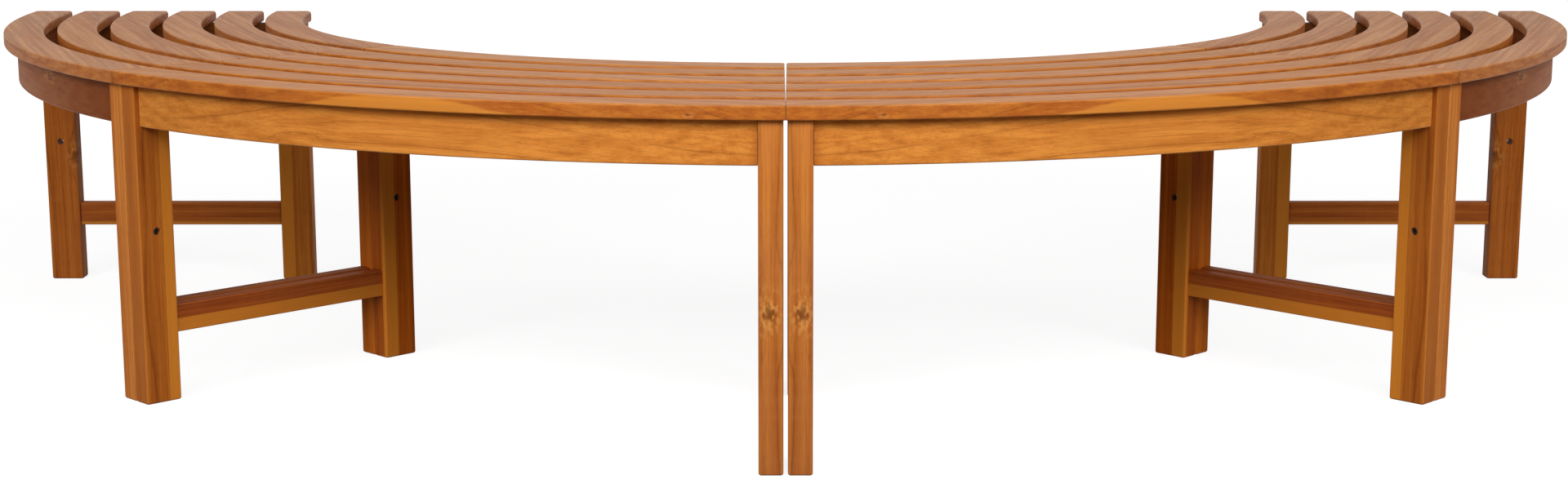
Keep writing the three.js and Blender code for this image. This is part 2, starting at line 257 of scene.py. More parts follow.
# What adds to the roughness of wood and steel, and to the height of their relief
STREAK_ROUGH = 0.07
PORE_ROUGH = 0.16
END_GRAIN_ROUGH = 0.14
BLOTCH_ROUGH = 0.1
WORN_ROUGH = -0.05
STEEL_ROUGH = 0.28
STEEL_PATCH_ROUGH = 0.25
STEEL_SCRATCH_ROUGH = 0.2
FIBRE_RELIEF = 0.7
PORE_RELIEF = -0.9
RING_RELIEF = 0.35
STREAK_RELIEF = 0.6
KNOT_RELIEF = -1.2
WOOD_BUMP = 0.3
WOOD_BUMP_HEIGHT = 0.0004
WOOD_IOR = 1.47
SHEEN_ROUGH = 0.3
STEEL_BUMP = 0.2
STEEL_BUMP_HEIGHT = 0.0001
STEEL_METALLIC = 0.9


def colour(red, green, blue):
    """A colour written as 0 to 255 in sRGB, as the linear values that a node takes."""
    def linear(value):
        share = value / 255
        return share / 12.92 if share <= 0.04045 else ((share + 0.055) / 1.055) ** 2.4
    return (linear(red), linear(green), linear(blue), 1.0)


# Colours that are laid over the wood's own, and those of steel and stage
PORE_BROWN = colour(74, 34, 10)
SAPWOOD = colour(238, 168, 84)
LIGHT_TONE = colour(226, 150, 66)
DARK_TONE = colour(92, 42, 10)
RED_TONE = colour(140, 62, 26)
# Painted shade for the faces that don't look up
SIDE_PAINTED_SHADE = colour(238, 216, 152)
# Filter for richness, partly the wood's own and partly painted shade
RICH_AND_SHADE_FILTER = colour(255, 212, 120)
# Painted light for the faces that look up
TOP_PAINTED_LIGHT = colour(228, 172, 84)
SECOND_PIECE = colour(216, 134, 44)
GLUE_BROWN = colour(84, 40, 12)
END_GRAIN_BROWN = colour(100, 52, 20)
WORN_LIGHT = colour(232, 164, 92)
HALO_LIGHT = colour(232, 166, 92)
KNOT_BROWN = colour(82, 42, 16)
STEEL_GREY = colour(44, 42, 40)
STEEL_BROWN = colour(70, 60, 52)
FLOOR_GREY = colour(240, 240, 240)
FLOOR_PALE = colour(246, 246, 246)
WHITE = (1.0, 1.0, 1.0, 1.0)
BLACK = (0.0, 0.0, 0.0, 1.0)


class Nodes:
    """Nodes of a material or a world, by short calls. A value is a number, a tuple or a socket."""

    def __init__(self, owner):
        owner.use_nodes = True
        self.owner = owner
        self.tree = owner.node_tree
        self.tree.nodes.clear()

    def node(self, kind, values=None, **settings):
        made = self.tree.nodes.new("ShaderNode" + kind)
        for key, setting in settings.items():
            setattr(made, key, setting)
        for key, value in (values or {}).items():
            self.feed(made.inputs[key], value)
        return made

    def feed(self, socket, value):
        if isinstance(value, bpy.types.NodeSocket):
            self.tree.links.new(value, socket)
        else:
            socket.default_value = value

    def math(self, operation, *values, clamp=False):
        made = self.node("Math", dict(enumerate(values)), operation=operation, use_clamp=clamp)
        return made.outputs[0]

    def add_up(self, start, *pairs):
        """The start value plus each value of the pairs times its weight."""
        for value, weight in pairs:
            start = self.math("MULTIPLY_ADD", value, weight, start)
        return start

    def vector(self, operation, *values):
        made = self.node("VectorMath", dict(enumerate(values)), operation=operation)
        return made.outputs["Value" if operation == "LENGTH" else "Vector"]

    def join(self, x=0.0, y=0.0, z=0.0):
        return self.node("CombineXYZ", {0: x, 1: y, 2: z}).outputs[0]

    def attribute(self, name, output="Vector"):
        return self.node("Attribute", attribute_name=name).outputs[output]

    def parts(self, vector):
        return self.node("SeparateXYZ", {0: vector}).outputs

    def own_place(self):
        """The place in the piece's own coordinates."""
        return self.node("TexCoord").outputs["Object"]

    def noise(self, place, cells, detail=2.0, roughness=0.5):
        """Noise of about 0 to 1, with its cells per metre in each direction."""
        values = {
            "Vector": self.vector("MULTIPLY", place, cells),
            "Scale": 1.0,
            "Detail": detail,
            "Roughness": roughness,
        }
        return self.node("TexNoise", values).outputs["Fac"]

    def smooth(self, value, low, high, to_low=0.0, to_high=1.0):
        """A smooth step from to_low, where the value is low, to to_high, where it is high."""
        values = {
            "Value": value,
            "From Min": low,
            "From Max": high,
            "To Min": to_low,
            "To Max": to_high,
        }
        return self.node("MapRange", values, interpolation_type="SMOOTHSTEP").outputs["Result"]

    def mix(self, share, first, second, blend="MIX"):
        made = self.node("Mix", data_type="RGBA", blend_type=blend, clamp_factor=True)
        self.feed(made.inputs[0], share)
        self.feed(made.inputs[6], first)
        self.feed(made.inputs[7], second)
        return made.outputs[2]

    def seen(self):
        """1 for a ray from the camera, off a shiny face or through glass, and 0 for others."""
        rays = self.node("LightPath").outputs
        either = self.math("MAXIMUM", rays["Is Camera Ray"], rays["Is Glossy Ray"])
        return self.math("MAXIMUM", either, rays["Is Transmission Ray"])

    def finish(self, surface, output="OutputMaterial"):
        self.node(output, {"Surface": surface})
        return self.owner


def teak(name, light, middle, dark, shine, roughness, painted_shade_sides=0.0, painted_light_tops=0.0, sheen=0.0):
    """Oiled teak: growth rings, streaks, fibres, pores, sapwood and knots, in the plank's own axes.

    light, middle and dark are the wood's own colours. The share for the sides darkens the
    faces that don't look up, a painted shade, the share for the tops lightens those that do,
    a painted light, and sheen is a soft veil at a slant.

    The attribute grain holds metres along the grain and across it from the plank's pith.
    look is a plank's tone, its redness and the radius of its sapwood, and its tone holds the
    painted light and shade of a fade along the grain. marks is its greyness, the radius of a
    bold ring and its richness, which is partly the wood's own and partly painted shade. seam
    is the distance from a glue line, with a lighter piece of wood below zero. knot is the
    place measured from a knot and the knot's strength. faces is how much of a face is end
    grain, how much of it is a worn edge and how far it looks up."""
    s = Nodes(bpy.data.materials.new(name))
    tone, redness, sap_radius = s.parts(s.attribute("look"))
    greyness, bold_radius, richness_and_shade = s.parts(s.attribute("marks"))
    end_grain, worn, upward = s.parts(s.attribute("faces"))
    seam = s.attribute("seam", "Fac")
    second = s.math("LESS_THAN", seam, 0.0)
    shift = s.vector("MULTIPLY", SECOND_SHIFT, s.join(second, second, second))
    place = s.vector("ADD", s.attribute("grain"), shift)

    # A knot pushes the rings aside
    knot_along, knot_across, knot_strength = s.parts(s.attribute("knot"))
    knot_wave = s.noise(place, KNOT_CELLS)
    knot_length = s.math("MULTIPLY", knot_along, KNOT_STRETCH)
    knot_flat = s.vector("LENGTH", s.join(knot_length, knot_across))
    knot_distance = s.add_up(knot_flat, (s.math("SUBTRACT", knot_wave, 0.5), KNOT_WAVE))
    knot_pull = s.smooth(knot_distance, *KNOT_REACH)

    # Growth rings round the pith, bent by slow and by fine waves
    _, across_1, across_2 = s.parts(place)
    slow = s.math("SUBTRACT", s.noise(place, SLOW_CELLS), 0.5)
    fine = s.math("SUBTRACT", s.noise(place, FINE_CELLS), 0.5)
    pith_distance = s.vector("LENGTH", s.join(across_1, across_2))
    waved = s.add_up(pith_distance, (slow, SLOW_WAVE), (fine, FINE_WAVE))
    waved = s.math("ADD", knot_pull, waved)
    ring = s.math("DIVIDE", waved, RING_WIDTH)
    ring_number = s.math("FLOOR", ring)
    ring_kind = s.node("TexWhiteNoise", {"W": ring_number}, noise_dimensions="1D").outputs["Value"]
    ring_place = s.math("FRACT", ring)
    ring_line = s.math(
        "MAXIMUM",
        s.math("POWER", ring_place, RING_SHARPNESS),
        s.smooth(ring_place, *RING_AFTER),
    )
    ring_rare = s.math("POWER", ring_kind, RING_RARITY)
    ring_strength = s.add_up(RING_STRENGTH_LEAST, (ring_rare, RING_STRENGTH_RANGE))
    ring_dark = s.math("MULTIPLY", ring_line, ring_strength)
    bold_place = s.math("DIVIDE", s.math("SUBTRACT", waved, bold_radius), BOLD_SPACING)
    bold_away = s.math("PINGPONG", s.math("ABSOLUTE", bold_place), 0.5)
    bold_fade = s.smooth(s.noise(place, BOLD_FADE_CELLS, 1.0), *BOLD_FADE)
    bold = s.math("MULTIPLY", s.smooth(bold_away, *BOLD_LINE), bold_fade)
    bold_side = s.math("MULTIPLY", s.smooth(bold_away, *BOLD_SIDE), bold_fade)
    ring_dark = s.math("MAXIMUM", ring_dark, s.math("MAXIMUM", bold, bold_side), clamp=True)

    # Streaks, fibres, pores and soft patches
    streak = s.noise(place, STREAK_CELLS, 3.0, 0.6)
    fibre = s.noise(place, FIBRE_CELLS, 3.0)
    pore = s.smooth(s.noise(place, PORE_CELLS, 1.0), *PORE_STEP)
    blotch = s.noise(place, BLOTCH_CELLS, 3.0, 0.55)
    shimmer = s.noise(place, SHIMMER_CELLS)

    base = s.mix(s.smooth(streak, *STREAK_MIDDLE), light, middle)
    base = s.mix(s.smooth(streak, *STREAK_DARK), base, dark)
    base = s.mix(s.smooth(blotch, *BLOTCH_MIDDLE), base, middle)
    base = s.mix(s.smooth(blotch, *BLOTCH_DARK), base, dark)
    base = s.mix(s.smooth(fibre, *FIBRE_DARK), base, dark)
    base = s.mix(s.smooth(fibre, *FIBRE_LIGHT), base, light)
    base = s.mix(ring_dark, base, dark)
    base = s.mix(s.math("MULTIPLY", pore, PORE_SHARE), base, PORE_BROWN)
    base = s.mix(s.smooth(shimmer, *SHIMMER_LIGHT), base, light)

    # Sapwood beyond its radius, and a plank's tone, redness, greyness and richness. Its tone
    # holds the painted light and shade of its fade, and its richness is partly the wood's own
    # and partly painted shade
    sap = s.smooth(s.math("SUBTRACT", waved, sap_radius), *SAP_STEP)
    base = s.mix(s.math("MULTIPLY", sap, SAP_SHARE), base, SAPWOOD)
    base = s.mix(s.math("MULTIPLY", tone, 1.0, clamp=True), base, LIGHT_TONE)
    base = s.mix(s.math("MULTIPLY", tone, -1.0, clamp=True), base, DARK_TONE)
    base = s.mix(s.math("MULTIPLY", redness, 1.0, clamp=True), base, RED_TONE)
    weather = s.math("MULTIPLY", s.smooth(blotch, *WEATHER_STEP), greyness, clamp=True)
    greyed = s.node("HueSaturation", {
        "Saturation": GREYED_SATURATION,
        "Value": GREYED_VALUE,
        "Color": base,
    })
    base = s.mix(weather, base, greyed.outputs[0])
    # Painted shade on the faces that don't look up
    side = s.math("MULTIPLY", s.math("SUBTRACT", 1.0, upward, clamp=True), painted_shade_sides)
    base = s.mix(side, base, SIDE_PAINTED_SHADE, "MULTIPLY")
    # Painted light on the faces that look up
    base = s.mix(s.math("MULTIPLY", upward, painted_light_tops), base, TOP_PAINTED_LIGHT)
    # Richness: partly the wood's own colour and partly painted shade
    base = s.mix(richness_and_shade, base, RICH_AND_SHADE_FILTER, "MULTIPLY")
    base = s.mix(s.math("MULTIPLY", second, SECOND_SHARE), base, SECOND_PIECE)

    # Glue line, end grain, worn edges and the knot itself
    glue = s.smooth(s.math("ABSOLUTE", seam), *GLUE_STEP)
    base = s.mix(glue, base, GLUE_BROWN)
    base = s.mix(s.math("MULTIPLY", end_grain, END_GRAIN_SHARE), base, END_GRAIN_BROWN)
    base = s.mix(s.math("MULTIPLY", worn, WORN_SHARE), base, WORN_LIGHT)
    halo = s.math("MULTIPLY", s.smooth(knot_distance, *KNOT_HALO), knot_strength)
    halo_fibre = s.math("MULTIPLY", halo, s.smooth(knot_wave, *KNOT_HALO_FIBRE))
    base = s.mix(halo_fibre, base, HALO_LIGHT)
    core = s.math("MULTIPLY", s.smooth(knot_distance, *KNOT_CORE), knot_strength)
    base = s.mix(core, base, KNOT_BROWN)

    # The finish is duller in pores and on end grain, and smoother on worn edges
    dull = s.add_up(
        roughness,
        (s.smooth(streak, *STREAK_DULL), STREAK_ROUGH),
        (pore, PORE_ROUGH),
        (end_grain, END_GRAIN_ROUGH),
        (blotch, BLOTCH_ROUGH),
        (worn, WORN_ROUGH),
    )

    # Relief of fibres, pores, rings, streaks and the knot
    relief = s.add_up(
        s.math("MULTIPLY", fibre, FIBRE_RELIEF),
        (pore, PORE_RELIEF),
        (ring_dark, RING_RELIEF),
        (streak, STREAK_RELIEF),
        (core, KNOT_RELIEF),
    )
    bump = s.node("Bump", {"Strength": WOOD_BUMP, "Distance": WOOD_BUMP_HEIGHT, "Height": relief})
    surface = s.node("BsdfPrincipled", {
        "Base Color": base,
        "Roughness": dull,
        "IOR": WOOD_IOR,
        "Specular IOR Level": shine,
        "Sheen Weight": sheen,
        "Sheen Roughness": SHEEN_ROUGH,
        "Normal": bump.outputs[0],
    })
    return s.finish(surface.outputs[0])


def dark_steel(name):
    """Blackened steel of the bolts and screws, with dull patches and fine scratches."""
    s = Nodes(bpy.data.materials.new(name))
    place = s.own_place()
    patch = s.noise(place, STEEL_PATCH_CELLS, 3.0)
    scratch = s.noise(place, STEEL_SCRATCH_CELLS, 1.0)
    base = s.mix(s.smooth(patch, *STEEL_PATCH), STEEL_GREY, STEEL_BROWN)
    dull = s.add_up(STEEL_ROUGH, (patch, STEEL_PATCH_ROUGH), (scratch, STEEL_SCRATCH_ROUGH))
    bump = s.node("Bump", {
        "Strength": STEEL_BUMP,
        "Distance": STEEL_BUMP_HEIGHT,
        "Height": scratch,
    })
    surface = s.node("BsdfPrincipled", {
        "Base Color": base,
        "Roughness": dull,
        "Metallic": STEEL_METALLIC,
        "Normal": bump.outputs[0],
    })
    return s.finish(surface.outputs[0])


MATERIALS = {
    "slat_wood": teak(
        "slat_wood",
        colour(214, 136, 54),
        colour(190, 108, 36),
        colour(128, 62, 16),
        shine=0.17,
        roughness=0.42,
        # Painted shade on the slats' sides and painted light on their tops
        painted_shade_sides=1.0,
        painted_light_tops=0.1,
    ),
    "frame_wood": teak(
        "frame_wood",
        colour(222, 142, 60),
        colour(202, 120, 46),
        colour(136, 68, 20),
        shine=0.05,
        roughness=0.45,
        sheen=0.2,
    ),
    # The stretchers' wood is darker, more saturated and less shiny than the frame's: painted shade,
    # for the shade under the seat
    "stretcher_wood": teak(
        "stretcher_wood",
        colour(190, 104, 30),
        colour(168, 82, 18),
        colour(104, 46, 6),
        shine=0.08,
        roughness=0.5,
    ),
    "bolt_steel": dark_steel("bolt_steel"),
}


def put_in_scene(name, data):
    """A new object with this data, linked to the scene."""
    made = bpy.data.objects.new(name, data)
    bpy.context.scene.collection.objects.link(made)
    return made


# Sawn arcs, as the frame has them: a segment's middle line is +X in its own axes

def rise_share(radius):
    return 1 + (OUTER_RISE_SHARE - 1) * (radius - INNER_RADIUS) / SEAT_DEPTH


def sawn_arc(radius):
    """Centre and bend radius of the sawn arc that meets the joint planes at this radius."""
    half_chord = radius * math.sin(HALF_ANGLE)
    rise = rise_share(radius) * radius * (1 - math.cos(HALF_ANGLE))
    bend_radius = (half_chord ** 2 + rise ** 2) / (2 * rise)
    return radius * math.cos(HALF_ANGLE) + rise - bend_radius, bend_radius


def arc_limit(radius, clearance):
    """Angle at which the arc comes to within the clearance of a joint plane."""
    centre, bend_radius = sawn_arc(radius)
    return HALF_ANGLE - math.asin((clearance - centre * math.sin(HALF_ANGLE)) / bend_radius)


def arc_point(radius, angle):
    centre, bend_radius = sawn_arc(radius)
    return centre + bend_radius * math.cos(angle), bend_radius * math.sin(angle)


def middle_radius(radius):
    """How far out the arc reaches in the middle of its segment."""
    return arc_point(radius, 0)[0]


def rounded_section(width, height, low_edge, high_edge):
    """Points of a rounded rectangle as (across, up, wear), with an edge radius for each side."""
    corners = [
        (width - high_edge, high_edge, high_edge, -90),
        (width - high_edge, height - high_edge, high_edge, 0),
        (low_edge, height - low_edge, low_edge, 90),
        (low_edge, low_edge, low_edge, 180),
    ]
    section = []
    for across, up, radius, start in corners:
        for i in range(EDGE_FACETS + 1):
            share = i / EDGE_FACETS
            angle = math.radians(start + 90 * share)
            wear = math.sin(math.pi * share)
            section.append((across + radius * math.cos(angle), up + radius * math.sin(angle), wear))
    return section


def end_steps(softening):
    """Steps (distance from the end, inset of the section) round an end's arris, outermost first."""
    steps = []
    for i in range(END_FACETS + 1):
        angle = math.pi / 2 * i / END_FACETS
        steps.append((softening * (1 - math.cos(angle)), softening * (1 - math.sin(angle))))
    return steps


def loft(name, rings, wear):
    """Closed mesh through rings of points, with each point's share of edge wear."""
    mesh = bpy.data.meshes.new(name)
    around = len(rings[0])
    points = [point for ring in rings for point in ring]
    faces = []
    for r in range(len(rings) - 1):
        for i in range(around):
            j = (i + 1) % around
            here, ahead = r * around, (r + 1) * around
            faces.append((here + i, here + j, ahead + j, ahead + i))
    faces.append(tuple(reversed(range(around))))
    last = (len(rings) - 1) * around
    faces.append(tuple(range(last, last + around)))
    mesh.from_pydata(points, [], faces)
    mesh.attributes.new("wear", "FLOAT", "POINT").data.foreach_set("value", wear)
    return mesh


def corner_loss(radius, distance):
    """How much a rounded corner takes off at a distance from the end."""
    if distance >= radius:
        return 0.0
    return radius - math.sqrt(radius ** 2 - (radius - distance) ** 2)


def end_stations(softening, corner):
    """Steps (distance from the end, inset) over a softened end with a rounded corner in plan."""
    steps = end_steps(softening)
    if corner > softening:
        for i in range(CORNER_FACETS):
            steps.append((softening + (corner - softening) * (i + 1) / CORNER_FACETS, 0.0))
    return steps


def curved_bar(
    name, inside, width, bottom, height, edges, softenings, steps, clearances, corner=0.0
):
    """A bar sawn to the curve of the bench, with rounded edges and softened ends."""
    section = rounded_section(width, height, *edges)
    near_start, near_end = [end_stations(softening, corner) for softening in softenings]
    full_start = near_start[-1][0]
    full_end = near_end[-1][0]

    # Stations along the bar, as (distance from an end, inset, share of the length, on an arris)
    stations = []
    for distance, inset in near_start:
        stations.append((distance, inset, 0.0, 0 < inset < softenings[0]))
    stations += [(0.0, 0.0, i / steps, False) for i in range(1, steps)]
    for distance, inset in reversed(near_end):
        stations.append((distance, inset, 1.0, 0 < inset < softenings[1]))

    rings = []
    wear = []
    for distance, inset, share, on_arris in stations:
        loss = corner_loss(corner, distance) if share in (0.0, 1.0) else 0.0
        ring = []
        for across, up, worn in section:
            kept = inset + across * (width - 2 * inset) / width
            radius = inside + kept + loss * (1 - across / width)
            start = -arc_limit(radius, clearances[0] + (distance if share == 0 else full_start))
            end = arc_limit(radius, clearances[1] + (distance if share == 1 else full_end))
            x, y = arc_point(radius, start + (end - start) * share)
            ring.append((x, y, bottom + inset + up * (height - 2 * inset) / height))
            wear.append(1.0 if on_arris else worn)
        rings.append(ring)
    mesh = loft(name, rings, wear)
    mesh.flip_normals()
    return mesh


def straight_bar(name, low, high, axis, edge, low_end, high_end):
    """A bar along an axis (0, 1 or 2) between two corners, with rounded edges and ends."""
    side_1, side_2 = [i for i in range(3) if i != axis]
    width, height = high[side_1] - low[side_1], high[side_2] - low[side_2]
    section = rounded_section(width, height, edge, edge)
    stations = [(low[axis] + distance, inset) for distance, inset in end_steps(low_end)]
    for distance, inset in reversed(end_steps(high_end)):
        stations.append((high[axis] - distance, inset))
    rings = []
    wear = []
    for place, inset in stations:
        ring = []
        for across, up, worn in section:
            point = [0.0, 0.0, 0.0]
            point[axis] = place
            point[side_1] = low[side_1] + inset + across * (width - 2 * inset) / width
            point[side_2] = low[side_2] + inset + up * (height - 2 * inset) / height
            ring.append(tuple(point))
            wear.append(worn)
        rings.append(ring)
    return loft(name, rings, wear)


def cut(mesh, cutter):
    """The mesh with the cutter's shape taken out of it."""
    body, tool = [put_in_scene("cutting", m) for m in (mesh, cutter)]
    modifier = body.modifiers.new("hole", "BOOLEAN")
    modifier.operation = "DIFFERENCE"
    modifier.solver = "EXACT"
    modifier.object = tool
    ready = body.evaluated_get(bpy.context.evaluated_depsgraph_get())
    result = bpy.data.meshes.new_from_object(ready)
    for o in (body, tool):
        bpy.data.objects.remove(o)
    return result


def turned(name, profile, sides, centre, axis):
    """A solid of revolution: profile is (distance along the axis, radius) from end to end."""
    other = [i for i in range(3) if i != axis]
    rings = []
    for along, radius in profile:
        ring = []
        for i in range(sides):
            angle = 2 * math.pi * i / sides
            point = [0.0, 0.0, 0.0]
            point[axis] = centre[axis] + along
            point[other[0]] = centre[other[0]] + radius * math.cos(angle)
            point[other[1]] = centre[other[1]] + radius * math.sin(angle)
            ring.append(tuple(point))
        rings.append(ring)
    mesh = loft(name, rings, [0.0] * (sides * len(rings)))
    if axis == 1:
        mesh.flip_normals()
    return mesh


def hole_cutter(depth_middle, low_y, high_y):
    """Cutter for a bolt hole across a leg, with a softened rim on both faces."""
    over = HOLE_RIM * 2
    profile = [
        (low_y - over, HOLE_RADIUS + over + HOLE_RIM),
        (low_y + HOLE_RIM, HOLE_RADIUS),
        (high_y - HOLE_RIM, HOLE_RADIUS),
        (high_y + over, HOLE_RADIUS + over + HOLE_RIM),
    ]
    return turned("hole_cutter", profile, HOLE_SIDES, (depth_middle, 0.0, HOLE_HEIGHT), 1)


class Plank:
    """Where a piece was sawn from: its grain direction, its pith, its tone and its marks.

    along is the grain's direction. Each pith is an axis across the grain with the pith's
    distance on it. tone is how light it is, from -1 to 1, and fade how much lighter it gets
    in a metre along the grain, which is painted light and shade. red, grey and rich are
    shares, and the richness is partly the wood's own and partly painted shade. sap is the
    radius of its sapwood and bold that of a bold ring. seam is a glue line as (normal,
    distance), with a lighter piece of wood at lesser distances. knot is (centre, axis across
    it, size, strength)."""

    def __init__(self, seed, along, pith_1, pith_2, **features):
        draw = random.Random(seed)
        self.along = Vector(along)
        self.across_1 = Vector(pith_1[0])
        self.across_2 = Vector(pith_2[0])
        self.offset = (draw.uniform(*PLANK_SHIFT), pith_1[1], pith_2[1])
        self.tone = draw.uniform(*PLANK_TONE)
        self.fade = 0.0
        self.red = draw.uniform(*PLANK_RED)
        self.sap = NO_SAPWOOD
        self.grey = draw.uniform(*PLANK_GREY)
        self.bold = draw.uniform(0, BOLD_SPACING)
        self.rich_and_shade = 0.0
        self.seam = None
        self.knot = None
        for key, value in features.items():
            setattr(self, key, value)

    def grain_at(self, p):
        return [
            p.dot(self.along) + self.offset[0],
            p.dot(self.across_1) - self.offset[1],
            p.dot(self.across_2) - self.offset[2],
        ]

    def knot_at(self, p):
        if not self.knot:
            return [FAR_AWAY, FAR_AWAY, 0.0]
        centre, side, size, strength = self.knot
        away = (p - Vector(centre)) / size
        return [away.dot(self.along), away.dot(Vector(side)), strength]

    def seam_at(self, p):
        if not self.seam:
            return FAR_AWAY
        normal, distance = self.seam
        return p.dot(Vector(normal)) - distance

    def dress(self, mesh):
        """Writes the attributes that the wood material reads, from the piece's own axes."""
        grain = []
        knot = []
        seam = []
        look = []
        marks = []
        for vertex in mesh.vertices:
            p = vertex.co
            grain += self.grain_at(p)
            knot += self.knot_at(p)
            seam.append(self.seam_at(p))
            # The tone, with the painted light and shade of its fade along the grain
            look += [self.tone + self.fade * p.dot(self.along), self.red, self.sap]
            marks += [self.grey, self.bold, self.rich_and_shade]
        vectors = {"grain": grain, "knot": knot, "look": look, "marks": marks}
        for name, values in vectors.items():
            written = mesh.attributes.new(name, "FLOAT_VECTOR", "POINT")
            written.data.foreach_set("vector", values)
        mesh.attributes.new("seam", "FLOAT", "POINT").data.foreach_set("value", seam)
        worn = [item.value for item in mesh.attributes["wear"].data]
        faces = []
        for polygon in mesh.polygons:
            end_grain = abs(polygon.normal.dot(self.along)) ** 3
            upward = max(0.0, polygon.normal.z)
            for corner in polygon.loop_indices:
                faces += [end_grain, worn[mesh.loops[corner].vertex_index], upward]
        written = mesh.attributes.new("faces", "FLOAT_VECTOR", "CORNER")
        written.data.foreach_set("vector", faces)
        mesh.attributes.remove(mesh.attributes["wear"])


def ring_matrix(angle):
    return Matrix.Translation((0.0, RING_CENTRE_Y, 0.0)) @ Matrix.Rotation(angle, 4, "Z")


MIRROR = Matrix.Scale(-1.0, 4, OUT)


def add_piece(name, mesh, matrix, slot, nodes):
    """Puts a finished mesh in the row frame as a piece that stands for its CAD nodes."""
    mesh.transform(matrix)
    if matrix.determinant() < 0:
        mesh.flip_normals()
    mesh.materials.clear()
    mesh.materials.append(MATERIALS[slot])
    mesh.shade_smooth()
    piece = put_in_scene(name, mesh)
    weights = piece.modifiers.new("even_faces", "WEIGHTED_NORMAL")
    weights.weight = EVEN_FACES_WEIGHT
    weights.keep_sharp = True
    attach(piece, "root")
    if nodes:
        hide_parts(*nodes)


def mark_sharp(mesh):
    """Keeps arrises crisp where two faces meet at more than a small angle."""
    b = bmesh.new()
    b.from_mesh(mesh)
    for edge in b.edges:
        edge.smooth = edge.calc_face_angle(0.0) < math.radians(SHARP_DEGREES)
    b.to_mesh(mesh)
    b.free()


def add_pair(name, mesh, matrix, slot, nodes, letter=None):
    """A piece of the left half, and its mirror image in the right half."""
    mark_sharp(mesh)
    other = mesh.copy()
    number = int(name.split("_")[1])
    full = f"{name}_{letter}" if letter else name
    add_piece(f"look_{full}", mesh, matrix, slot, nodes)
    swap = {"a": "b", "b": "a"}

    def mirrored(text):
        text = text.replace(f"segment_{number}", f"segment_{SEGMENT_COUNT + 1 - number}")
        return text[:-1] + swap[letter] if letter else text

    other_nodes = [mirrored(node) for node in nodes]
    add_piece(f"look_{mirrored(full)}", other, MIRROR @ matrix, slot, other_nodes)


def ends(number, open_value, bolted_value):
    """Values for ends a and b of a segment: segment 1 is bolted at b, segment 2 at a."""
    return (open_value, bolted_value) if number == 1 else (bolted_value, open_value)


def end_turn(letter):
    """The side of a segment that its end a or b is on, and the turn from segment to leg frame."""
    side = 1 if letter == "a" else -1
    return side, Matrix.Rotation(-side * HALF_ANGLE, 4, "Z")


# What sets single slats apart, by segment and slat, in the segment's own axes. The front
# slat of segment 2 has sapwood where it bulges furthest out and a pin knot near its end.
PIN_KNOT = ((1.1915, 0.370, 0.438), UP, 0.3, 0.7)
FRONT_SLAT_SAPWOOD = 0.1512
SLAT_FEATURES = {
    (1, 6): {"grey": 0.22, "tone": -0.05},
    (1, 5): {"grey": 0.12},
    (1, 4): {"grey": 0.08},
    (1, 3): {"grey": 0.1, "tone": 0.08},
    (1, 2): {"grey": 0.14},
    (1, 1): {"grey": 0.12, "tone": -0.02},
    (2, 6): {"sap": FRONT_SLAT_SAPWOOD, "knot": PIN_KNOT, "tone": 0.0, "red": 0.05},
}
FRONT_SLAT_PITH = (OUTER_RADIUS - 0.145, SEAT_TOP + 0.062)


def add_slats(number, matrix):
    """The slats of a segment, from the tree side outwards."""
    outside = OPEN_SLAT_OUTSIDE if number == 1 else MIDDLE_SLAT_OUTSIDE
    for i in range(SLAT_COUNT):
        out = i / (SLAT_COUNT - 1)
        open_end = OPEN_SLAT_INSIDE + (outside - OPEN_SLAT_INSIDE) * out
        inside = INNER_RADIUS + i * SLAT_PITCH
        name = f"segment_{number}_slat_{i + 1}"
        mesh = curved_bar(
            name,
            inside,
            SLAT_WIDTH,
            SLAT_BOTTOM,
            SEAT_TOP - SLAT_BOTTOM,
            (SLAT_INNER_EDGE, SLAT_OUTER_EDGE),
            ends(number, OPEN_SLAT_END_EDGE, BOLTED_SLAT_END_EDGE),
            SLAT_STEPS,
            ends(number, open_end, BOLTED_SLAT),
            SLAT_PLAN_CORNER if i == 0 else 0.0,
        )
        draw = random.Random(f"slat {number} {i}")
        pith_out = inside + draw.uniform(*SLAT_PITH_OUT)
        pith_up = SEAT_TOP + draw.choice((-1, 1)) * draw.uniform(*SLAT_PITH_UP)
        if (number, i + 1) == (2, SLAT_COUNT):
            pith_out, pith_up = FRONT_SLAT_PITH
        plank = Plank(
            f"slat tone {number} {i}",
            ALONG,
            (OUT, pith_out),
            (UP, pith_up),
            **SLAT_FEATURES.get((number, i + 1), {}),
        )
        plank.dress(mesh)
        add_pair(name, mesh, matrix, "slat_wood", [name])


# What sets the outer aprons apart. The far one fades from light at its free end to dark and
# red, its light free end being a painted reflection, and has a knot. The front one has two
# bold rings that run down towards the middle of the bench, and a knot of no strength that
# only makes its rings swirl near its other end.
APRON_FEATURES = {
    (1, "outer"): {
        "tone": -0.36,
        "fade": -1.1,
        "red": 0.24,
        "grey": 0.0,
        "rich_and_shade": 0.2,
        "knot": ((1.21, 0.215, 0.416), UP, 0.9, 0.8),
    },
    (2, "outer"): {
        "tone": 0.1,
        "red": 0.0,
        "grey": 0.0,
        "bold": 0.148,
        "knot": ((1.2147, -0.160, 0.382), UP, 1.0, 0.0),
    },
}


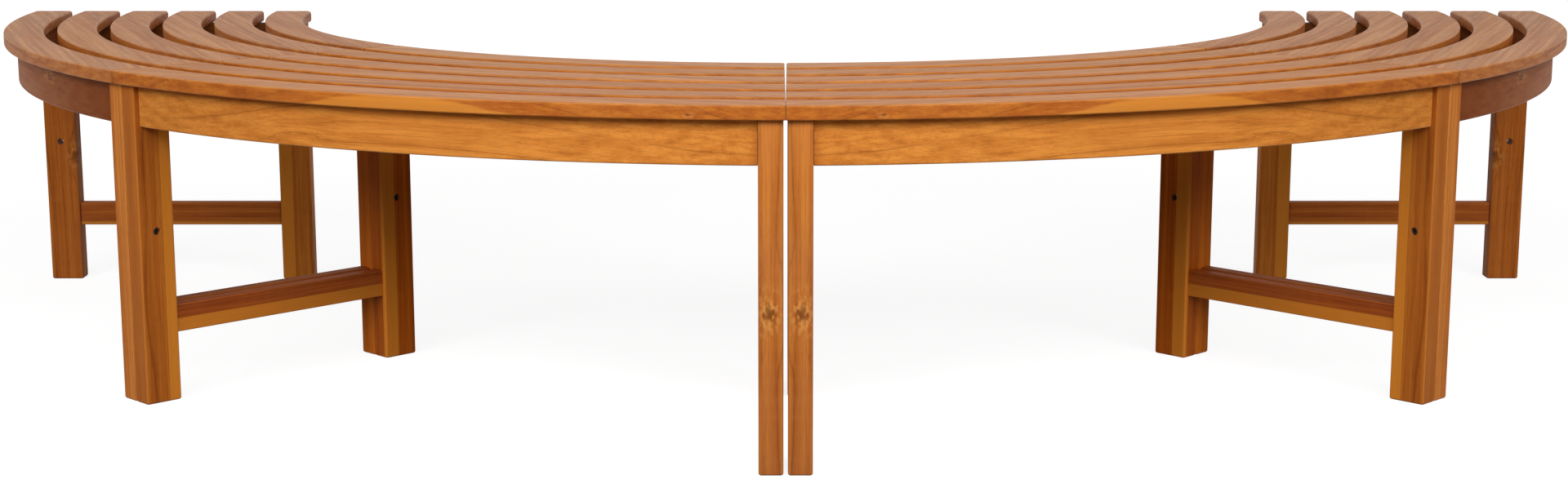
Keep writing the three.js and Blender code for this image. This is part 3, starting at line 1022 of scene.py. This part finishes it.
def add_aprons(number, matrix):
    """The outer and the inner apron of a segment, and the batten between them."""
    legs = [LEG_THICKNESS + SHOULDER_GAP + c for c in ends(number, OPEN_LEG, BOLTED_LEG)]
    height = FRAME_TOP - APRON_BOTTOM
    outer_inside = OUTER_LEG_FACE - APRON_SET_BACK - APRON_THICKNESS
    inner_inside = INNER_LEG_FACE + APRON_SET_BACK
    for kind, inside in (("outer", outer_inside), ("inner", inner_inside)):
        name = f"segment_{number}_{kind}_apron"
        mesh = curved_bar(
            name,
            inside,
            APRON_THICKNESS,
            APRON_BOTTOM,
            height,
            (APRON_EDGE, APRON_EDGE),
            (APRON_END_EDGE, APRON_END_EDGE),
            APRON_STEPS,
            legs,
        )
        plank = Plank(
            f"apron {number} {kind}",
            ALONG,
            (OUT, inside - APRON_PITH_IN),
            (UP, FRAME_TOP + APRON_PITH_UP),
            **APRON_FEATURES.get((number, kind), {}),
        )
        plank.dress(mesh)
        add_pair(name, mesh, matrix, "frame_wood", [name])

    batten = f"segment_{number}_batten"
    batten_start = middle_radius(inner_inside + APRON_THICKNESS)
    batten_end = middle_radius(outer_inside) - SHOULDER_GAP
    mesh = straight_bar(
        batten,
        (batten_start, -BATTEN_WIDTH / 2, FRAME_TOP - BATTEN_HEIGHT),
        (batten_end, BATTEN_WIDTH / 2, FRAME_TOP),
        0,
        RAIL_EDGE,
        BAR_END_EDGE,
        BAR_END_EDGE,
    )
    plank = Plank(
        f"batten {number}",
        OUT,
        (ALONG, BATTEN_PITH_ALONG),
        (UP, FRAME_TOP - BATTEN_PITH_DOWN),
    )
    plank.dress(mesh)
    add_pair(batten, mesh, matrix, "frame_wood", [f"segment_{number}_inner_apron"])


# What sets single legs and stretchers apart, by segment, end and piece, in the leg frame's
# own axes: x out along the joint line, y into the segment, z up. Glue lines set off lighter
# pieces: the outer part of the far inner leg, the back of segment 2's bolted outer leg and
# the lower part of two stretchers. In segment 2's bolted inner leg the glue line slants, so
# that the lighter piece shows on the face towards the segment.
LEG_STRIP = 0.58 * LEG_DEPTH
DARK_STRIP = 0.0345
LOW_STRIP = 0.006
SLANT = 3.8
FAR_INNER_SEAM = (INWARD, -(INNER_LEG_FACE + LEG_STRIP))
SLANTING_SEAM = (
    (-1.0, -SLANT, 0.0),
    -(INNER_LEG_FACE + LEG_STRIP) - SLANT * (BOLTED_LEG + LEG_THICKNESS),
)
OUTER_LEG_SEAM = (OUT, OUTER_LEG_FACE - DARK_STRIP)
FAR_STRETCHER_SEAM = (UP, STRETCHER_BOTTOM + LOW_STRIP)
STRETCHER_SEAM = (UP, (STRETCHER_BOTTOM + STRETCHER_TOP) / 2)
FAR_LEG_KNOT = ((OUTER_LEG_BACK + 0.004, 0.03, 0.21), OUT, 1.0, 0.7)
MIDDLE_LEG_KNOT = ((OUTER_LEG_FACE, OPEN_LEG + 0.017, 0.2), ALONG, 1.2, 0.8)
# Richness is partly the wood's own and partly painted shade, deepest on the inner legs in the shade
# under the seat
FRAME_FEATURES = {
    (1, "a", "outer"): {"tone": -0.28, "grey": 0.06, "rich_and_shade": 0.6, "knot": FAR_LEG_KNOT},
    (1, "a", "inner"): {"tone": -0.17, "grey": 0.0, "rich_and_shade": 0.3, "seam": FAR_INNER_SEAM},
    (1, "b", "outer"): {"tone": -0.04, "rich_and_shade": 0.2},
    (1, "b", "inner"): {"tone": 0.3, "grey": 0.0, "rich_and_shade": 0.9},
    (2, "a", "outer"): {"tone": -0.36, "grey": 0.0, "rich_and_shade": 0.4, "seam": OUTER_LEG_SEAM},
    # Lighter towards the top: painted light against the shade under the seat
    (2, "a", "inner"): {
        "tone": -0.34,
        "fade": 0.8,
        "grey": 0.0,
        "rich_and_shade": 0.9,
        "seam": SLANTING_SEAM,
    },
    # Darker towards the floor: painted shade where the light falls off
    (2, "b", "outer"): {
        "tone": -0.34,
        "fade": 0.45,
        "red": 0.1,
        "rich_and_shade": 0.2,
        "knot": MIDDLE_LEG_KNOT,
    },
    # Dark tone: painted shade, for the shade between the slats
    (1, "a", "top_rail"): {"tone": -0.7},
    (1, "a", "stretcher"): {"seam": FAR_STRETCHER_SEAM},
    (1, "b", "stretcher"): {"tone": -0.2},
    (2, "a", "stretcher"): {"tone": -0.16, "rich_and_shade": 0.5, "seam": STRETCHER_SEAM},
}


def add_legs(number, letter, matrix):
    """Outer and inner leg at one end of a segment, drawn in the leg frame's own axes."""
    clearance = ends(number, OPEN_LEG, BOLTED_LEG)["ab".index(letter)]
    for kind, low in (("outer", OUTER_LEG_BACK), ("inner", INNER_LEG_FACE)):
        name = f"segment_{number}_{kind}_leg"
        post = straight_bar(
            name,
            (low, clearance, 0.0),
            (low + LEG_DEPTH, clearance + LEG_THICKNESS, FRAME_TOP),
            2,
            LEG_EDGE,
            LEG_FOOT_EDGE,
            LEG_TOP_EDGE,
        )
        cutter = hole_cutter(low + LEG_DEPTH / 2, clearance, clearance + LEG_THICKNESS)
        mesh = cut(post, cutter)
        draw = random.Random(f"leg {number} {kind} {letter}")
        plank = Plank(
            f"leg tone {number} {kind} {letter}",
            UP,
            (OUT, low + draw.uniform(*LEG_PITH_OUT)),
            (ALONG, draw.choice((-1, 1)) * draw.uniform(*LEG_PITH_ALONG)),
            **FRAME_FEATURES.get((number, letter, kind), {}),
        )
        plank.dress(mesh)
        add_pair(name, mesh, matrix, "frame_wood", [f"{name}_{letter}"], letter)


def add_bar(number, letter, matrix, kind, section, slot, node):
    """A bar between the outer and the inner leg, with section as (thickness, bottom, top, edge)."""
    thickness, bottom, top, edge = section
    middle = ends(number, OPEN_LEG, BOLTED_LEG)["ab".index(letter)] + LEG_THICKNESS / 2
    name = f"segment_{number}_{kind}"
    mesh = straight_bar(
        name,
        (INNER_LEG_BACK + SHOULDER_GAP, middle - thickness / 2, bottom),
        (OUTER_LEG_BACK - SHOULDER_GAP, middle + thickness / 2, top),
        0,
        edge,
        BAR_END_EDGE,
        BAR_END_EDGE,
    )
    plank = Plank(
        f"{kind} {number} {letter}",
        OUT,
        (ALONG, BAR_PITH_ALONG),
        (UP, bottom - BAR_PITH_DOWN),
        **FRAME_FEATURES.get((number, letter, kind), {}),
    )
    plank.dress(mesh)
    add_pair(name, mesh, matrix, slot, [f"segment_{number}_{node}_{letter}"], letter)


STRETCHER_SECTION = (STRETCHER_THICKNESS, STRETCHER_BOTTOM, STRETCHER_TOP, STRETCHER_EDGE)
RAIL_SECTION = (RAIL_THICKNESS, FRAME_TOP - RAIL_HEIGHT, FRAME_TOP, RAIL_EDGE)


def add_frame(number, letter, matrix):
    """The leg frame at one end of a segment: legs, stretcher and top rail."""
    side, turn = end_turn(letter)
    place = matrix @ turn @ Matrix.Scale(side, 4, ALONG)
    add_legs(number, letter, place)
    add_bar(number, letter, place, "stretcher", STRETCHER_SECTION, "stretcher_wood", "stretcher")
    add_bar(number, letter, place, "top_rail", RAIL_SECTION, "frame_wood", "inner_leg")


def hexagon_cutter(centre):
    """Cutter for a hexagon socket, centred on the end of a bolt."""
    profile = [(-SOCKET_DEPTH, SOCKET_RADIUS), (SOCKET_DEPTH, SOCKET_RADIUS)]
    return turned("socket", profile, SOCKET_SIDES, centre, 1)


def bolt_profile(half):
    """A bolt and its sleeve nut from end to end: domed ends and the last turns of a thread."""
    dome = []
    for i in range(BOLT_DOME_STEPS + 1):
        angle = math.pi / 2 * i / BOLT_DOME_STEPS
        along = half - BOLT_DOME * (1 - math.sin(angle))
        dome.append((along, BOLT_RADIUS - BOLT_DOME * (1 - math.cos(angle))))
    dome.append((half, SOCKET_RADIUS / 2))
    thread = []
    start = half * THREAD_START_SHARE
    for i in range(2 * THREAD_TURNS + 1):
        depth = THREAD_ROOT if i % 2 else THREAD_CREST
        thread.append((start + i * THREAD_PITCH / 2, BOLT_RADIUS - depth))
    return [(-along, radius) for along, radius in reversed(dome)] + thread + dome


def add_bolts():
    """Joint bolts through the legs where two segments of a quarter are bolted together."""
    half = BOLTED_LEG + LEG_THICKNESS - BOLT_RECESS
    for first, joint_angle in BOLTED_JOINTS:
        for i, low in enumerate((OUTER_LEG_BACK, INNER_LEG_FACE)):
            name = f"joint_bolt_{first + i}"
            centre = (low + LEG_DEPTH / 2, 0.0, HOLE_HEIGHT)
            mesh = turned(name, bolt_profile(half), HOLE_SIDES, centre, 1)
            for sign in (-1, 1):
                mesh = cut(mesh, hexagon_cutter((centre[0], sign * half, centre[2])))
            mark_sharp(mesh)
            mesh.attributes.remove(mesh.attributes["wear"])
            matrix = ring_matrix(joint_angle * SEGMENT_ANGLE)
            add_piece(f"look_{name}", mesh, matrix, "bolt_steel", [name])


def add_screws(number, matrix):
    """Screw heads let into the undersides of the rails and the batten, one under each slat."""
    rows = []
    for letter, clearance in zip("ab", ends(number, OPEN_LEG, BOLTED_LEG)):
        side, turn = end_turn(letter)
        rows.append((turn, side * (clearance + LEG_THICKNESS / 2), FRAME_TOP - RAIL_HEIGHT))
    rows.append((Matrix.Identity(4), 0.0, FRAME_TOP - BATTEN_HEIGHT))
    head = [
        (-SCREW_SINK, SCREW_RADIUS * SCREW_CENTRE_SHARE),
        (-SCREW_SINK, SCREW_RADIUS * SCREW_FLAT_SHARE),
        (0.0, SCREW_RADIUS),
        (SCREW_SINK * 2, SCREW_RADIUS * SCREW_HIDDEN_SHARE),
    ]
    joined = bmesh.new()
    for turn, y, bottom in rows:
        for i in range(SLAT_COUNT):
            x = INNER_RADIUS + i * SLAT_PITCH + SLAT_WIDTH / 2
            if not INNER_LEG_BACK < x < OUTER_LEG_BACK:
                continue
            mesh = turned("screw", head, SCREW_SIDES, (x, y, bottom), 2)
            mesh.transform(turn)
            joined.from_mesh(mesh)
            bpy.data.meshes.remove(mesh)
    mesh = bpy.data.meshes.new(f"segment_{number}_screws")
    joined.to_mesh(mesh)
    joined.free()
    mesh.attributes.remove(mesh.attributes["wear"])
    add_pair(f"segment_{number}_screws", mesh, matrix, "bolt_steel", [])


for segment in (1, 2):
    segment_matrix = ring_matrix(math.pi + (segment - 1) * SEGMENT_ANGLE + HALF_ANGLE)
    add_slats(segment, segment_matrix)
    add_aprons(segment, segment_matrix)
    for end in "ab":
        add_frame(segment, end, segment_matrix)
    add_screws(segment, segment_matrix)
add_bolts()


# Camera at the photograph's viewing angle
CAMERA_DISTANCE = 4.05
CAMERA_ABOVE_SEAT = 0.357
CAMERA_PITCH = 0.1839
CAMERA_SIDE = -0.002
CAMERA_LENS_MM = 55.65

camera_data = bpy.data.cameras.new("camera")
camera_data.lens = CAMERA_LENS_MM
camera = put_in_scene("camera", camera_data)
camera.location = (CAMERA_SIDE, RING_CENTRE_Y - CAMERA_DISTANCE, SEAT_TOP + CAMERA_ABOVE_SEAT)
camera.rotation_euler = (math.pi / 2 - CAMERA_PITCH, 0.0, 0.0)
bpy.context.scene.camera = camera


# Floor: half its width, its squares on a side, the shares of its lit colour and of white
# that a camera sees near the bench, the distances between which that turns into all white,
# and its brightness for the light that it throws back
FLOOR_HALF = 15.0
FLOOR_SQUARES = 30
FLOOR_LIT_SHARE = 0.3
FLOOR_GLOW = 0.88
GLOW_START = 1.5
GLOW_END = 4.0
FLOOR_BOUNCE = 0.24

# World and lamps: the strength and tint of the light all round, and each lamp's place,
# size, power in watts and aim
WORLD_STRENGTH = 0.14
WORLD_TINT = (1.0, 0.985, 0.96, 1.0)
LAMPS = {
    "front": ((0.0, -3.9, 2.3), (3.5, 1.6), 90.0, (0.0, 0.0, 0.3)),
    "left": ((-2.7, -3.1, 2.2), (1.6, 1.6), 66.0, (-0.6, 0.0, 0.3)),
    "right": ((2.7, -3.1, 2.2), (1.6, 1.6), 66.0, (0.6, 0.0, 0.3)),
    "back": ((0.0, 4.6, 2.6), (3.5, 1.6), 14.0, (0.0, 0.3, 0.3)),
}


def pale_floor():
    """Pale floor that a camera sees as white, apart from the object's soft shadow."""
    s = Nodes(bpy.data.materials.new("pale_floor"))
    grain = s.noise(s.own_place(), FLOOR_CELLS)
    lit = s.node("BsdfDiffuse", {"Color": s.mix(grain, FLOOR_GREY, FLOOR_PALE)}).outputs[0]
    away = s.vector("LENGTH", s.own_place())
    glow = s.smooth(away, GLOW_START, GLOW_END, FLOOR_GLOW, 1.0)
    shine = s.node("Emission", {"Color": WHITE, "Strength": glow}).outputs[0]
    black = s.node("BsdfDiffuse", {"Color": BLACK}).outputs[0]
    some_lit = s.node("MixShader", {0: FLOOR_LIT_SHARE, 1: black, 2: lit}).outputs[0]
    shown = s.node("AddShader", {0: some_lit, 1: shine}).outputs[0]
    bounce = (FLOOR_BOUNCE, FLOOR_BOUNCE, FLOOR_BOUNCE, 1.0)
    plain = s.node("BsdfDiffuse", {"Color": bounce}).outputs[0]
    return s.finish(s.node("MixShader", {0: s.seen(), 1: plain, 2: shown}).outputs[0])


def add_floor():
    """A wide pale floor, built as a fine grid so that it stays flat and smooth."""
    grid = bmesh.new()
    squares = FLOOR_SQUARES
    bmesh.ops.create_grid(grid, x_segments=squares, y_segments=squares, size=FLOOR_HALF)
    floor_mesh = bpy.data.meshes.new("floor")
    grid.to_mesh(floor_mesh)
    grid.free()
    floor_mesh.materials.append(pale_floor())
    floor = put_in_scene("floor", floor_mesh)


def add_world():
    """Soft light from all round, which a camera sees as plain white."""
    s = Nodes(bpy.data.worlds.new("studio"))
    soft = s.node("Background", {"Color": WORLD_TINT, "Strength": WORLD_STRENGTH}).outputs[0]
    white = s.node("Background", {"Color": WHITE, "Strength": 1.0}).outputs[0]
    mixed = s.node("MixShader", {0: s.seen(), 1: soft, 2: white}).outputs[0]
    bpy.context.scene.world = s.finish(mixed, "OutputWorld")


def add_lamp(name, place, size, power, aim):
    """A rectangular lamp that points at the aim."""
    data = bpy.data.lights.new(name, "AREA")
    data.shape = "RECTANGLE"
    data.size, data.size_y = size
    data.energy = power
    lamp = put_in_scene(name, data)
    lamp.location = place
    direction = Vector(aim) - Vector(place)
    lamp.rotation_euler = direction.to_track_quat("-Z", "Y").to_euler()


add_floor()
add_world()
for lamp_name, lamp_values in LAMPS.items():
    add_lamp(lamp_name, *lamp_values)
bpy.context.scene.view_settings.view_transform = "Standard"
